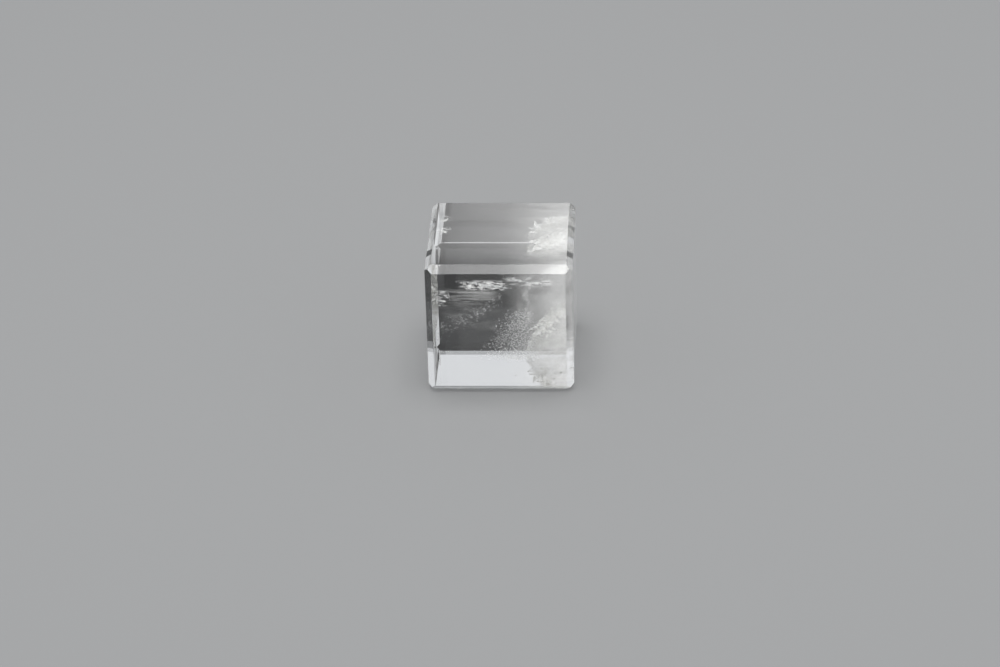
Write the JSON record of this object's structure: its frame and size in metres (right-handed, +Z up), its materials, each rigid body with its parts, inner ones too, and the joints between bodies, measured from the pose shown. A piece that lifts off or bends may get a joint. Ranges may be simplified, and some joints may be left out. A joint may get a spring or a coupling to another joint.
{
  "type": "polished clear quartz cube",
  "caption": "Small polished cube of clear natural quartz with bevelled edges and whitish veils, cracks and a milky corner sealed inside; stands on any face.",
  "frame": {"origin": "centre of the flat face that it rests on", "axes": "+Z up, +X to the right along the front face, +Y from the front to the back"},
  "size_m": [0.025, 0.025, 0.0242],
  "materials": {
    "clear_quartz": "polished, colourless, refractive index 1.544",
    "milky_quartz": "cloudy white",
    "veil_specks": "fine white fluid specks",
    "crack_face": "bright, mirror-like where light strikes it",
    "mineral_grain": "dull dark grain"
  },
  "bodies": {
    "root": {"crystal_body": "clear_quartz", "milky_zone": "milky_quartz", "cleavage_flakes": "crack_face", "upper_veil_left": "veil_specks", "upper_veil_right": "veil_specks", "diagonal_veil": "veil_specks", "vertical_veil": "veil_specks", "speck_field": "veil_specks", "corner_feather": "veil_specks", "glint_cracks": "crack_face", "growth_bands": "veil_specks", "mineral_grains": "mineral_grain"}
  },
  "joints": []
}
